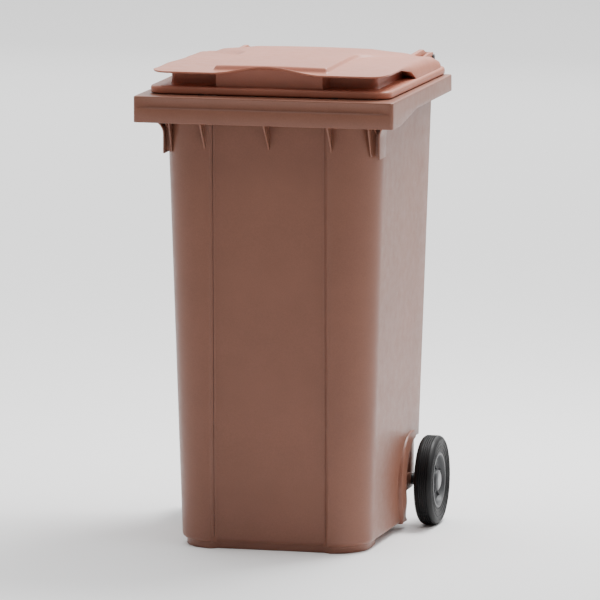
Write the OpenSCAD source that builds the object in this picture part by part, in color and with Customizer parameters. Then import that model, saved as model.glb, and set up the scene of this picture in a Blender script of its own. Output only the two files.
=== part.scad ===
// Two-wheeled wheelie bin, 240 litre class: tapered tub with a comb-lift rim,
// a hinged lid with a hand-grip visor, a steel axle and two rubber-tyred wheels.
// +Z is up, the front faces -Y, and the origin is on the ground under the middle.

/* [Overall] */
// Width over the rim
rim_w = 580; // [560:1:600]
// Height of the rim's top face above the ground
rim_top = 1003; // [960:1:1030]
// Distance from the rim's front edge to its rear edge
rim_d = 578; // [560:1:590]
// Distance from the rim's front edge to the back of the handle
overall_d = 725; // [718:1:740]

/* [Tub] */
// Wall of the tub
wall = 4.5; // [3.5:0.5:6]
// Half width of the tub under the rim, at the front corners
tub_top_front = 245; // [238:1:250]
// Half width of the tub under the rim, at the rear corners
tub_top_rear = 250; // [244:1:254]
// Half width of the tub at its base, at the front corners
tub_base_front = 215; // [206:1:220]
// Half width of the tub at its base, at the rear corners
tub_base_rear = 224; // [216:1:228]
// Front wall of the tub behind the rim's front edge, at the top
front_top = 46; // [42:1:50]
// Front wall of the tub behind the rim's front edge, at the base
front_base = 56; // [50:1:62]
// Rear wall of the tub in front of the rim's rear edge, at the top
rear_top = 4; // [3:1:8]
// Rear wall of the tub in front of the rim's rear edge, at the base
rear_base = 43; // [36:1:50]
// Radius of the two front corners
corner_front = 84; // [60:1:95]
// Radius of the two rear corners
corner_rear = 25; // [15:1:35]
// Half width of the recessed front panel
panel_half = 122; // [100:1:130]
// Depth of the recessed front panel
panel_recess = 10; // [6:1:12]
// Width of the sloped step on either side of the recessed panel
panel_step = 12; // [6:1:16]
// Height of the foot under the tub
foot_h = 14; // [10:1:18]

/* [Rim] */
// Depth of the rim's skirt at the front
skirt_front = 58; // [50:1:64]
// Depth of the rim's skirt at the sides and rear
skirt_side = 37; // [30:1:42]
// Wall of the rim's skirt and top face
rim_wall = 5; // [4:0.5:6]
// Outer corner radius of the rim
rim_corner = 7; // [7:1:16]

/* [Wheels] */
// Outer diameter of a tyre
tyre_d = 200; // [190:1:205]
// Width of a tyre
tyre_w = 42; // [36:1:46]
// Diameter of the hub's outer ring
hub_d = 124; // [110:1:136]
// Half of the width over both tyres
track_half = 289; // [286:1:296]
// Diameter of the axle
axle_d = 20; // [16:1:24]
// Distance of the axle behind the rim's front edge
axle_y = 482; // [470:1:490]
// Radial running clearance between hub bush and axle
run_gap = 0.1; // [0.05:0.01:0.1]

/* [Lid] */
// Gap between the closed lid's flange and the rim
lid_gap = 2; // [1:0.5:3]
// Flange set in from the rim at the sides
lid_inset = 20; // [17:1:24]
// How much wider the lid is on either side at the rear
lid_taper = 7; // [0:1:9]
// Flange set back from the rim's front edge
lid_front = 46; // [42:1:50]
// Flange past the rim's rear edge
lid_rear = 14; // [8:1:20]
// Height of the lid's flange
flange_h = 16; // [13:1:20]
// Height of the lid's deck above the rim
deck_h = 52; // [48:1:56]
// Height of the lid's raised middle above the rim
crown_h = 67; // [62:1:72]
// Wall of the lid
lid_wall = 4; // [3:0.5:5]

/* [Hinge and handle] */
// Diameter of a hinge pin
pin_d = 10; // [8:0.5:12]
// Radial clearance of a lid knuckle on its pin
pin_gap = 0.1; // [0.05:0.01:0.1]
// Height of the hinge axis above the rim's top face
hinge_h = 23; // [19:1:27]
// Distance of the hinge axis in front of the handle's back
hinge_back = 35; // [30:1:40]
// Inner face of a lid arm, from the middle
arm_in = 187; // [180:1:192]
// Width of a lid arm
arm_w = 32; // [28:1:36]
// Diameter of the handle bar
grip_d = 30; // [26:1:34]

/* [Hidden] */
$fn = 96;
hull_fn = 32;
eps = 0.01;
fit = 0.3;

rim_half = rim_w / 2;
side = [-1, 1];
plastic = "#8a6050";
lid_plastic = "#c79a8a";
black = "#1c1c1c";
rubber = "#232323";
grey = "#4c4d4f";
steel = "#b4b6b8";

wheel_r = tyre_d / 2;
axle_z = wheel_r;
base_z = foot_h;
shell_top = rim_top - 8;
rim_under = rim_top - rim_wall;
seam = 0.1;

hinge_y = overall_d - hinge_back;
hinge_z = rim_top + hinge_h;

// ---------------------------------------------------------------- helpers

// Puts a shape built from the rim's front edge (y = 0) into the part's frame.
module placed() {
    translate([0, -overall_d / 2, 0]) children();
}

module mirrored() {
    for (s = side) scale_x(s) children();
}

module scale_x(s) {
    mirror([s < 0 ? 1 : 0, 0, 0]) children();
}

// Rectangle with rounded corners from arcs of circles.
module round_rect(x0, x1, y0, y1, r) {
    translate([x0 + r, y0]) square([x1 - x0 - 2 * r, y1 - y0]);
    translate([x0, y0 + r]) square([x1 - x0, y1 - y0 - 2 * r]);
    for (x = [x0 + r, x1 - r], y = [y0 + r, y1 - r]) translate([x, y]) circle(r);
}

// Profile drawn in the YZ plane, extruded along X from x0 to x1.
module along_x(x0, x1) {
    translate([x0, 0, 0])
        rotate([90, 0, 90])
            linear_extrude(x1 - x0) children();
}

// Cylinder along X.
module rod_x(x0, x1, d, y, z) {
    translate([x0, y, z]) rotate([0, 90, 0]) cylinder(h = x1 - x0, d = d);
}

// ---------------------------------------------------------------- tub

// One height of the tub's outer shape: how far down it is, from 0 at the top to 1 at the base.
function down(z) = (shell_top - z) / (shell_top - base_z);
function blend(a, b, t) = a + (b - a) * t;
function half_front(z) = blend(tub_top_front, tub_base_front, down(z));
function half_rear(z) = blend(tub_top_rear, tub_base_rear, down(z));
function wall_front(z) = blend(front_top, front_base, down(z));
function wall_rear(z) = rim_d - blend(rear_top, rear_base, down(z));

// Thin slice of the tub at height z, drawn in by a margin.
module slice(z, margin) {
    rf = corner_front - margin;
    rr = max(corner_rear - margin, 4);
    yf = wall_front(z) + margin + rf;
    yr = wall_rear(z) - margin - rr;
    for (s = side) {
        translate([s * (half_front(z) - margin - rf), yf, z])
            cylinder(h = 1, r = rf, $fn = 64);
        translate([s * (half_rear(z) - margin - rr), yr, z])
            cylinder(h = 1, r = rr, $fn = hull_fn);
    }
}

// Solid of the tub's walls and floor. The base edge is rounded off in two steps.
module tub_block(margin, floor_z, top_z) {
    hull() {
        slice(top_z - 1, margin);
        slice(floor_z + 12, margin);
        slice(floor_z + 4, margin + 3);
        slice(floor_z, margin + 10);
    }
}

// Leaning slab that sets the front panel back.
module panel_cut(grow) {
    hull()
        for (z = [-1, rim_top])
            translate([0, wall_front(z), z])
                linear_extrude(1)
                    polygon([
                        [-panel_half - panel_step - grow, -30],
                        [panel_half + panel_step + grow, -30],
                        [panel_half + panel_step + grow, grow],
                        [panel_half + grow, panel_recess + grow],
                        [-panel_half - grow, panel_recess + grow],
                        [-panel_half - panel_step - grow, grow]]);
}

bay_r = wheel_r - 3;

// Space for the axle and wheels, round in front and open behind and below.
module axle_bay(grow) {
    along_x(-rim_half, rim_half) {
        translate([axle_y, axle_z]) circle(bay_r + grow);
        translate([axle_y, axle_z - 2 * bay_r]) square([3 * bay_r, 3 * bay_r + grow]);
        translate([axle_y - bay_r * 0.62, -bay_r])
            square([2 * bay_r, axle_z + bay_r * 0.2]);
    }
}

// Curved fender that stands out of the side wall round the front of each wheel.
fender_out = 233;
fender_w = 6;
module fender() {
    along_x(fender_out - 45, fender_out)
        difference() {
            translate([axle_y, axle_z]) circle(bay_r + fender_w);
            translate([axle_y, axle_z]) circle(bay_r);
            translate([axle_y - 8, -bay_r]) square([3 * bay_r, 4 * bay_r]);
            translate([axle_y - 2 * bay_r, -bay_r])
                square([4 * bay_r, bay_r + foot_h - 2]);
        }
}

// Bracket that carries the axle, joined to the bay's front wall.
module axle_bracket(x0, x1) {
    arm_h = axle_d + 16;
    difference() {
        union() {
            rod_x(x0, x1, arm_h, axle_y, axle_z);
            translate([x0, axle_y - bay_r - 3, axle_z - arm_h / 2])
                cube([x1 - x0, bay_r + 3, arm_h]);
            translate([x0, axle_y - arm_h / 2, axle_z])
                cube([x1 - x0, arm_h, bay_r + 3]);
        }
        rod_x(x0 - 1, x1 + 1, axle_d, axle_y, axle_z);
    }
}

bracket_out = 223;
bracket_w = 26;

module foot() {
    inset = 9;
    foot_back = 268;
    half = tub_base_front - inset;
    y0 = front_base + inset - 3;
    band = 8;
    rib = 6;
    linear_extrude(foot_h + 6)
        difference() {
            round_rect(-half, half, y0, foot_back, 48);
            round_rect(-half + band, half - band, y0 + band, foot_back - band, 48 - band);
        }
    for (x = [-half * 0.5, 0, half * 0.5])
        translate([x - rib / 2, y0 + panel_recess + 3, 0])
            cube([rib, foot_back - y0 - panel_recess - 6, foot_h + 6]);
}

// Rim: a flat top ring and a skirt that is deeper at the front.
module rim_profile() {
    round_rect(-rim_half, rim_half, 0, rim_d, rim_corner);
}

// The top face runs a little past the tub's inner walls, as a seat for the lid.
module rim_opening() {
    seat = 8;
    mouth = wall_front(shell_top) + wall + seat;
    half = tub_top_front - wall - seat / 2;
    round_rect(-half, half, mouth, rim_d - rear_top - wall, 40);
}

module rim_ring() {
    slope_start = 80;
    slope_end = 230;
    groove_h = 24;
    groove = 3;
    difference() {
        translate([0, 0, rim_top - skirt_front])
            linear_extrude(skirt_front) rim_profile();
        // hollow under the top face
        translate([0, 0, rim_top - skirt_front - 1])
            linear_extrude(skirt_front - rim_wall + 1)
                round_rect(-rim_half + rim_wall, rim_half - rim_wall,
                    rim_wall, rim_d - rim_wall, rim_corner - rim_wall);
        // mouth
        translate([0, 0, rim_top - skirt_front])
            linear_extrude(skirt_front + 1) rim_opening();
        // shallower skirt along the sides and rear
        along_x(-rim_half - 1, rim_half + 1)
            polygon([
                [slope_start, rim_top - skirt_front - 1],
                [slope_start, rim_top - skirt_front + 2],
                [slope_end, rim_top - skirt_side],
                [rim_d + 1, rim_top - skirt_side],
                [rim_d + 1, rim_top - skirt_front - 1]]);
        // set-back upper band of the front skirt
        translate([-rim_half + 20, -1, rim_top - rim_wall * 0.4 - groove_h])
            cube([rim_w - 40, groove + 1, groove_h]);
    }
}

// Triangular gusset between the front skirt and the front wall.
module gusset(x) {
    thick = 4;
    low = rim_top - skirt_front - 59;
    along_x(x - thick / 2, x + thick / 2)
        polygon([
            [rim_wall - 1, rim_under],
            [rim_wall - 1, rim_top - skirt_front + 2],
            [wall_front(low), low],
            [wall_front(low) + panel_recess + 2, low],
            [wall_front(low) + panel_recess + 2, rim_under]]);
}

// Two-fin bracket under each front corner of the rim.
module corner_bracket() {
    low = rim_top - skirt_front - 75;
    fin = 3.5;
    outer = tub_top_front - 2;
    inner = outer - 18;
    front = wall_front(low) + 30;
    flare = 20;
    difference() {
        union() {
            translate([outer - fin, front, low])
                cube([fin, 62, rim_under - low]);
            translate([inner - fin, front - 8, low + 4])
                cube([fin, 34, rim_under - low - 4]);
            translate([inner - fin, front + 16, low + 4])
                cube([outer - inner, fin, rim_under - low - 4]);
            // flare of the outer fin towards the rim
            translate([outer - fin, front - flare, rim_top - skirt_front - flare])
                difference() {
                    cube([flare + fin, flare + 62, flare + 4]);
                    translate([flare + fin, -1, 0])
                        rotate([-90, 0, 0]) cylinder(h = flare + 64, r = flare);
                    translate([flare + fin - eps, -1, -1]) cube([flare, 2 * flare + 62, flare + 1]);
                    translate([-1, 0, 0]) rotate([0, 90, 0]) cylinder(h = 2 * flare, r = flare);
                }
        }
        translate([-rim_half, -50, -rim_top]) cube([rim_w, 50 + rim_wall - 1, 2 * rim_top]);
    }
}

// Lug that carries a hinge pin, behind the rim.
lug_in = arm_in + 7;
lug_out = arm_in + arm_w - 7;
lug_d = pin_d + 16;
module hinge_lug() {
    root_h = rim_top - skirt_side;
    difference() {
        along_x(lug_in, lug_out) {
            translate([hinge_y, hinge_z]) circle(d = lug_d);
            polygon([
                [rim_d - rim_wall, root_h],
                [hinge_y, hinge_z - lug_d / 2],
                [hinge_y, hinge_z + lug_d / 2],
                [lid_back + 6, rim_top],
                [rim_d - rim_wall, rim_top]]);
        }
        rod_x(lug_in - 1, lug_out + 1, pin_d, hinge_y, hinge_z);
    }
}

// Bar handle on two arms, between the hinge lugs.
grip_half = 172;
grip_arm = 20;
grip_y = overall_d - grip_d / 2;
grip_z = rim_top - skirt_side / 2 - 4;
module handle() {
    root = rim_d + seam;
    color(plastic)
        placed() {
            mirrored()
                along_x(grip_half - grip_arm, grip_half) {
                    translate([grip_y, grip_z]) circle(d = grip_d);
                    polygon([
                        [root, rim_top - skirt_side],
                        [grip_y, grip_z - grip_d / 2],
                        [grip_y, grip_z + grip_d / 2],
                        [root, rim_top]]);
                }
            rod_x(-grip_half, grip_half, grip_d, grip_y, grip_z);
        }
}

// The moulded rim with its gussets, brackets and hinge lugs, cut to fit round the tub.
module rim() {
    color(plastic)
        placed()
            difference() {
                union() {
                    rim_ring();
                    for (x = [-142, 0, 142]) gusset(x);
                    mirrored() {
                        corner_bracket();
                        hinge_lug();
                    }
                }
                difference() {
                    tub_block(-seam, base_z, rim_under);
                    panel_cut(-seam);
                }
                buffer_sockets();
            }
}

module tub() {
    color(plastic)
        placed() {
            difference() {
                union() {
                    difference() {
                        tub_block(0, base_z, rim_under - seam);
                        axle_bay(0);
                    }
                    foot();
                    mirrored() fender();
                }
                panel_cut(0);
                tub_cavity();
            }
            mirrored() axle_bracket(bracket_out - bracket_w, bracket_out);
            axle_bracket(-bracket_w / 2, bracket_w / 2);
        }
}

module tub_cavity() {
    difference() {
        tub_block(wall, base_z + wall, rim_top);
        axle_bay(wall);
        panel_cut(wall);
    }
}

// ---------------------------------------------------------------- lid

lid_half = rim_half - lid_inset;
lid_back = rim_d + lid_rear;
lid_z = rim_top + lid_gap;
flange_top = lid_z + flange_h;
deck_z = rim_top + deck_h;
crown_z = rim_top + crown_h;
deck_fall = 14;
neck_in = 8;
lid_corner = 34;

function corner_arc(x, y, r, start) =
    [for (i = [0 : 8]) [x + r * cos(start + 90 * i / 8), y + r * sin(start + 90 * i / 8)]];

// The lid's plan, drawn in by an inset: slightly wider at the rear.
module lid_plan(inset, front_edge) {
    r = lid_corner - inset;
    x0 = lid_half - inset - r;
    x1 = x0 + lid_taper;
    y0 = front_edge + inset + r;
    y1 = lid_back - inset - r;
    polygon(concat(
        corner_arc(x0, y0, r, -90), corner_arc(x1, y1, r, 0),
        corner_arc(-x1, y1, r, 90), corner_arc(-x0, y0, r, 180)));
}

// One ring of the lid's deck: z falls by a given amount from front to rear.
module lid_ring(z, fall, margin, front_extra) {
    r = max(lid_corner - margin, 8);
    for (s = side, i = [0, 1])
        translate([
            s * (lid_half + i * lid_taper - margin - r),
            i == 0 ? lid_front + margin + front_extra + r : lid_back - margin - r,
            z - i * fall])
            cylinder(h = 1, r = r, $fn = hull_fn);
}

// Shallow dome of the lid, drawn in by a margin for its hollow.
module lid_dome(margin) {
    hull() {
        lid_ring(flange_top - 2, 0, neck_in + margin, 0);
        lid_ring(deck_z - 12 - margin, deck_fall, neck_in + 3 + margin, 6);
        lid_ring(deck_z - 4 - margin, deck_fall, neck_in + 12 + margin, 10);
        lid_ring(deck_z - 1 - margin, deck_fall, neck_in + 30 + margin, 0);
    }
}

// Raised middle of the deck: a narrow front that spreads towards the hinge arms.
crown_half = 128;
crown_front = 30;
crown_spread = 310;
crown_wide = 402;
crown_step = 5;
module crown_post(half, y, z, r) {
    for (s = side)
        translate([s * (half - r), lid_front + y, z]) cylinder(h = 1, r = r, $fn = hull_fn);
}

module lid_crown(margin) {
    r = 18;
    low = deck_z - 20;
    wide = arm_in + arm_w - margin;
    back = lid_back - lid_front - 40 - margin - r;
    hull() {
        crown_post(crown_half - margin, crown_front + margin + r, low, r);
        crown_post(crown_half - crown_step - margin, crown_front + margin + r + 5,
            crown_z - 2 - margin, r);
        crown_post(crown_half - crown_step - margin, crown_wide, crown_z - margin - 1, r);
        crown_post(crown_half - margin, crown_wide, low, r);
    }
    hull() {
        crown_post(crown_half - margin, crown_spread, low, r);
        crown_post(crown_half - crown_step - margin, crown_spread, crown_z - margin - 1, r);
        crown_post(wide, crown_wide + 20, low, r);
        crown_post(wide - 30, crown_wide + 20, crown_z - 4 - margin, r);
        crown_post(wide, back, low, r);
        crown_post(wide - 30, back - 30, crown_z - 13 - margin, r);
    }
}

// Lower edge of the visor: level at the sides, arched over the middle.
lip_low = deck_z - 4;
lip_rise = 16;
lip_wave_half = 125;
lip_wall = 4;
lip_out = 12;
visor_half = lid_half - 7;
visor_corner = 44;
visor_level = 190;
grip_end = 328;
function lip_z(x) = lip_low
    + (abs(x) < lip_wave_half ? lip_rise * pow(cos(90 * x / lip_wave_half), 2) : 0);

// Thin overhanging visor along the front, with wings that fall back along both sides.
module visor() {
    steps = 36;
    xs = [for (i = [0 : steps]) -visor_half + 2 * visor_half * i / steps];
    intersection() {
        union() {
            translate([0, visor_level, 0])
                rotate([90, 0, 0])
                    linear_extrude(visor_level)
                        polygon(concat(
                            [for (x = xs) [x, lip_z(x)]],
                            [for (i = [steps : -1 : 0]) [xs[i], lip_z(xs[i]) + lip_wall]]));
            for (s = side)
                scale_x(s)
                    along_x(visor_half - 60, visor_half)
                        polygon([
                            [visor_level - 1, lip_low],
                            [grip_end, lip_low - deck_fall],
                            [grip_end + 12, flange_top - 2],
                            [grip_end + 20, flange_top - 2],
                            [grip_end + 8, lip_low - deck_fall + lip_wall],
                            [visor_level - 1, lip_low + lip_wall]]);
        }
        translate([0, 0, flange_top - 3])
            linear_extrude(crown_z)
                round_rect(-visor_half, visor_half, lid_front - lip_out, lid_back, visor_corner);
    }
}

// Hand-grip recess under the visor: deep at the corners, shallow in the middle,
// and closed by an arch part of the way along each side.
grip_depth = 52;
grip_middle = 14;
grip_side = 38;
module grip_recess(grow) {
    intersection() {
        translate([0, 0, flange_top - grow])
            linear_extrude(lip_low + lip_wall - flange_top)
                difference() {
                    translate([-rim_half, -100]) square([rim_w, lid_back]);
                    round_rect(-lid_half + grip_side + grow, lid_half - grip_side - grow,
                        lid_front + grip_depth + grow, 2 * lid_back, 24);
                    round_rect(-lip_wave_half + grow, lip_wave_half - grow,
                        lid_front + grip_middle + grow, 2 * lid_back, 10);
                }
        along_x(-rim_half, rim_half)
            polygon([
                [-100, flange_top - grow],
                [grip_end + grow, flange_top - grow],
                [grip_end + grow, flange_top + 2],
                [grip_end - 30 + grow, lip_low - 14 + grow],
                [visor_level, lip_low + grow / 2 + 1],
                [-100, lip_low + grow / 2 + 1]]);
    }
}

// Channel-shaped arm that reaches back over the pin lug.
module lid_arm() {
    cheek = 6;
    knuckle = pin_d + 16;
    web_z = hinge_z + lug_d / 2 + 4;
    difference() {
        along_x(arm_in, arm_in + arm_w) {
            translate([hinge_y, hinge_z]) circle(d = knuckle);
            polygon([
                [hinge_y - 300, deck_z - 20],
                [hinge_y - 276, deck_z - 3],
                [hinge_y - 98, crown_z - 13],
                [hinge_y + 3, hinge_z + knuckle / 2 - 0.4],
                [hinge_y, hinge_z - knuckle / 2],
                [lid_back - 30, lid_z + 2],
                [lid_back - 60, flange_top]]);
        }
        // channel that clears the lug through the whole swing
        along_x(arm_in + cheek, arm_in + arm_w - cheek) {
            translate([hinge_y, hinge_z]) circle(d = lug_d + 8);
            translate([hinge_y - 12, hinge_z - 60]) square([60, 120]);
            polygon([
                [lid_back + 4, lid_z - 20],
                [lid_back + 4, web_z],
                [hinge_y, web_z],
                [hinge_y, lid_z - 20]]);
        }
        rod_x(arm_in - 1, arm_in + arm_w + 1, pin_d + 2 * pin_gap, hinge_y, hinge_z);
    }
}

module lid() {
    color(lid_plastic)
        placed()
            difference() {
                union() {
                    difference() {
                        union() {
                            translate([0, 0, lid_z])
                                linear_extrude(flange_h) lid_plan(0, lid_front);
                            lid_dome(0);
                            lid_crown(0);
                        }
                        grip_recess(0);
                    }
                    visor();
                    mirrored() lid_arm();
                }
                lid_hollow();
            }
}

// Opens the dome's hollow into the flange's.
module throat(inset) {
    translate([0, 0, lid_z]) linear_extrude(flange_h) lid_plan(inset, lid_front);
}

// The lid is a shell: its underside is open inside the flange.
module lid_hollow() {
    difference() {
        union() {
            translate([0, 0, lid_z - 1])
                linear_extrude(flange_h - lid_wall + 1) lid_plan(lid_wall, lid_front);
            throat(neck_in + lid_wall);
            lid_dome(lid_wall);
            lid_crown(lid_wall);
        }
        grip_recess(lid_wall);
    }
}

// ---------------------------------------------------------------- hinge pins

pin_head_d = 15;
pin_head_h = 4;
module hinge_pin(s) {
    color(black)
        placed()
            scale_x(s) {
                rod_x(arm_in - 6, arm_in + arm_w + fit + 1, pin_d, hinge_y, hinge_z);
                rod_x(arm_in + arm_w + fit, arm_in + arm_w + fit + pin_head_h, pin_head_d,
                    hinge_y, hinge_z);
            }
}

// Push-on cap that keeps a pin in place, on its inner end.
module pin_cap(s) {
    color(black)
        placed()
            scale_x(s)
                difference() {
                    rod_x(arm_in - 8, arm_in - fit, pin_head_d, hinge_y, hinge_z);
                    rod_x(arm_in - 6, arm_in, pin_d, hinge_y, hinge_z);
                }
}

// ---------------------------------------------------------------- axle and wheels

hub_in = track_half - tyre_w + 3;
hub_out = track_half - 5;
bush_d = axle_d + 7;
boss_d = 44;
spacer_d = axle_d + 6;
axle_half = hub_out - 3;

module axle() {
    color(steel)
        placed()
            difference() {
                rod_x(-axle_half, axle_half, axle_d, axle_y, axle_z);
                mirrored()
                    difference() {
                        rod_x(axle_half - 6, axle_half - 4, axle_d + 2, axle_y, axle_z);
                        rod_x(axle_half - 7, axle_half - 3, axle_d - 4, axle_y, axle_z);
                    }
            }
}

// Sleeve on the axle between its bracket and the wheel.
module spacer(s) {
    color(black)
        placed()
            scale_x(s)
                difference() {
                    rod_x(bracket_out, hub_in - fit, spacer_d, axle_y, axle_z);
                    rod_x(bracket_out - 1, hub_in, axle_d, axle_y, axle_z);
                }
}

// Ring snapped into the axle's groove, which holds the wheel on.
module retainer(s) {
    color(steel)
        placed()
            scale_x(s)
                difference() {
                    rod_x(axle_half - 6, axle_half - 4, axle_d + 8, axle_y, axle_z);
                    rod_x(axle_half - 7, axle_half - 3, axle_d - 4, axle_y, axle_z);
                }
}

// Turned shape about the axle: the profile is [radius, distance from the middle].
module turned() {
    translate([0, axle_y, axle_z]) rotate([0, 90, 0]) rotate_extrude() children();
}

module tyre(s) {
    shoulder = 8;
    step = 2.5;
    grooves = 4;
    r0 = hub_d / 2;
    x0 = track_half - tyre_w;
    x1 = track_half;
    pitch = (tyre_w - 2 * shoulder) / (grooves + 1);
    color(rubber)
        placed()
            scale_x(s)
                turned()
                    difference() {
                        polygon([
                            [r0, x0 + 5],
                            [r0 + 6, x0 + 3],
                            [wheel_r - shoulder, x0],
                            [wheel_r, x0 + shoulder],
                            [wheel_r, x1 - shoulder],
                            [wheel_r - shoulder, x1],
                            [wheel_r - shoulder - 9, x1],
                            [wheel_r - shoulder - 9, x1 - 1.5],
                            [wheel_r - shoulder - 18, x1 - 1.5],
                            [wheel_r - shoulder - 18, x1 - 3],
                            [r0, x1 - 3]]);
                        for (i = [1 : grooves])
                            translate([wheel_r - 1.6, x0 + shoulder + pitch * i - 0.9])
                                square([step, 1.8]);
                    }
}

spokes = 6;
module hub(s) {
    r0 = hub_d / 2;
    web = 4;
    mid = (hub_in + hub_out) / 2;
    color(grey)
        placed()
            scale_x(s)
                difference() {
                    union() {
                        turned() {
                            // outer ring
                            translate([r0 - 5, track_half - tyre_w + 5])
                                square([5, tyre_w - 8]);
                            // dished web
                            polygon([
                                [r0 - 4, mid + 2],
                                [r0 - 4, mid + 2 + web],
                                [boss_d / 2 - 1, mid - 5 + web],
                                [boss_d / 2 - 1, mid - 5]]);
                            // centre boss
                            translate([bush_d / 2, hub_in])
                                square([boss_d / 2 - bush_d / 2, hub_out - hub_in]);
                        }
                        for (i = [0 : spokes - 1])
                            translate([0, axle_y, axle_z])
                                rotate([360 / spokes * i + 15, 0, 0])
                                    translate([mid - 10, -2.5, boss_d / 2 - 2])
                                        cube([20, 5, r0 - boss_d / 2 - 2]);
                    }
                    // seats of the retainer and the cap
                    rod_x(axle_half - 6 - fit, hub_out + 1, bush_d + 8, axle_y, axle_z);
                }
}

// Bearing sleeve in the hub.
module bush(s) {
    color("#d8d6cf")
        placed()
            scale_x(s)
                difference() {
                    rod_x(hub_in, axle_half - 6 - fit, bush_d, axle_y, axle_z);
                    rod_x(hub_in - 1, axle_half, axle_d + 2 * run_gap, axle_y, axle_z);
                }
}

module hub_cap(s) {
    color("#8d8f92")
        placed()
            scale_x(s)
                turned()
                    difference() {
                        union() {
                            translate([0, axle_half - 4 + fit])
                                square([bush_d / 2 + 4, hub_out - axle_half + 4 - fit]);
                            translate([0, hub_out]) square([bush_d / 2 + 5, 2.5]);
                        }
                        square([axle_d / 2 + 2, axle_half + fit]);
                    }
}

// ---------------------------------------------------------------- small fittings

buffer_x = 150;
buffer_y = lid_front + 2;
buffer_d = 14;
module buffer_sockets() {
    for (s = side)
        translate([s * buffer_x, buffer_y, rim_under - 1])
            cylinder(h = rim_wall + 2, d = buffer_d - 6);
}

// Rubber buffer pressed into the rim, on which the lid's front edge rests.
module lid_buffer(s) {
    color(black)
        placed()
            translate([s * buffer_x, buffer_y, 0]) {
                translate([0, 0, rim_under])
                    cylinder(h = rim_wall + eps, d = buffer_d - 6);
                translate([0, 0, rim_top]) cylinder(h = lid_gap - fit, d = buffer_d);
            }
}

tub();
rim();
handle();
lid();
hinge_pin(-1);  // hinge_pin_left
hinge_pin(1);  // hinge_pin_right
pin_cap(-1);  // pin_cap_left
pin_cap(1);  // pin_cap_right
axle();
spacer(-1);  // spacer_left
spacer(1);  // spacer_right
retainer(-1);  // retainer_left
retainer(1);  // retainer_right
tyre(-1);  // tyre_left
tyre(1);  // tyre_right
hub(-1);  // hub_left
hub(1);  // hub_right
bush(-1);  // bush_left
bush(1);  // bush_right
hub_cap(-1);  // hub_cap_left
hub_cap(1);  // hub_cap_right
lid_buffer(-1);  // lid_buffer_left
lid_buffer(1);  // lid_buffer_right
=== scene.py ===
import math

import bmesh
import bpy
from mathutils import Matrix, Vector


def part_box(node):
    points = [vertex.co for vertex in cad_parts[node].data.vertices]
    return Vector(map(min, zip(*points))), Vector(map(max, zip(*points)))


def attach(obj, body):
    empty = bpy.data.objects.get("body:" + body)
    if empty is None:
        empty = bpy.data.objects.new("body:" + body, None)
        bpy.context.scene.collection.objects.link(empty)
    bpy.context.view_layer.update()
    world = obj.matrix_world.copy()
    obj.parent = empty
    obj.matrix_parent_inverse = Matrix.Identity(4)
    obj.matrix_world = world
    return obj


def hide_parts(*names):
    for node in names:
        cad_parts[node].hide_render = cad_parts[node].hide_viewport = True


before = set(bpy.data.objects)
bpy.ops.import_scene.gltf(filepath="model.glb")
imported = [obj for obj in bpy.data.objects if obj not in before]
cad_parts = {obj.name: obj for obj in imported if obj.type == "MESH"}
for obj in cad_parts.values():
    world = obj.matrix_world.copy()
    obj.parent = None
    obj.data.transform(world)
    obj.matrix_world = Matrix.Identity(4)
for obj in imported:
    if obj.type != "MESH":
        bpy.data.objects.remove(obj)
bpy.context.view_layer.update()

# ------------------------------------------------------------------ the frame's measures
# Shapes below are drawn in millimetres, with y measured back from the rim's front edge.
MM = 0.001


def box_mm(node):
    """A node's two corners in millimetres."""
    return [tuple(v / MM for v in corner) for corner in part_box(node)]


rim_lo, rim_hi = box_mm("rim")
handle_back = box_mm("handle")[1][1]
lid_lo = box_mm("lid")[0]
tyre_lo, tyre_hi = box_mm("tyre_right")
axle_lo, axle_hi = box_mm("axle")
pin_lo, pin_hi = box_mm("hinge_pin_right")

FRONT = rim_lo[1]
OVERALL_D = handle_back - FRONT
RIM_HALF = rim_hi[0]
LID_GAP = 2
RIM_TOP = lid_lo[2] - LID_GAP
RIM_D = 578
AXLE_Y = (tyre_lo[1] + tyre_hi[1]) / 2 - FRONT
AXLE_Z = (tyre_lo[2] + tyre_hi[2]) / 2
HINGE_Y = (pin_lo[1] + pin_hi[1]) / 2 - FRONT
HINGE_Z = (pin_lo[2] + pin_hi[2]) / 2
SIDES = (-1, 1)

TUB = "tub_body"
LID = "lid_body"


# ------------------------------------------------------------------ helpers
def mix(a, b, t):
    return a + (b - a) * t


def clamp(v, low=0.0, high=1.0):
    return max(low, min(high, v))


def smooth(edge0, edge1, v):
    t = clamp((v - edge0) / (edge1 - edge0))
    return t * t * (3 - 2 * t)


def at(point):
    """A point in millimetres from the rim's front edge, in the frame's metres."""
    x, y, z = point
    return (x * MM, (y + FRONT) * MM, z * MM)


def new_object(name, verts, faces, smooth_angle=40):
    mesh = bpy.data.meshes.new(name)
    mesh.from_pydata([at(v) for v in verts], [], faces)
    mesh.validate()
    obj = bpy.data.objects.new(name, mesh)
    bpy.context.scene.collection.objects.link(obj)
    work = bmesh.new()
    work.from_mesh(mesh)
    bmesh.ops.remove_doubles(work, verts=work.verts, dist=1e-6)
    bmesh.ops.recalc_face_normals(work, faces=work.faces)
    work.to_mesh(mesh)
    work.free()
    shade(obj, smooth_angle)
    return obj


def shade(obj, angle):
    obj.data.shade_smooth()
    obj.data.set_sharp_from_angle(angle=math.radians(angle))


def apply_modifiers(obj):
    graph = bpy.context.evaluated_depsgraph_get()
    mesh = bpy.data.meshes.new_from_object(obj.evaluated_get(graph))
    old = obj.data
    obj.modifiers.clear()
    obj.data = mesh
    bpy.data.meshes.remove(old)


def cut(obj, cutter, operation="DIFFERENCE"):
    mod = obj.modifiers.new("cut", "BOOLEAN")
    mod.operation = operation
    mod.solver = "EXACT"
    mod.object = cutter
    apply_modifiers(obj)
    bpy.data.objects.remove(cutter)


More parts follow.
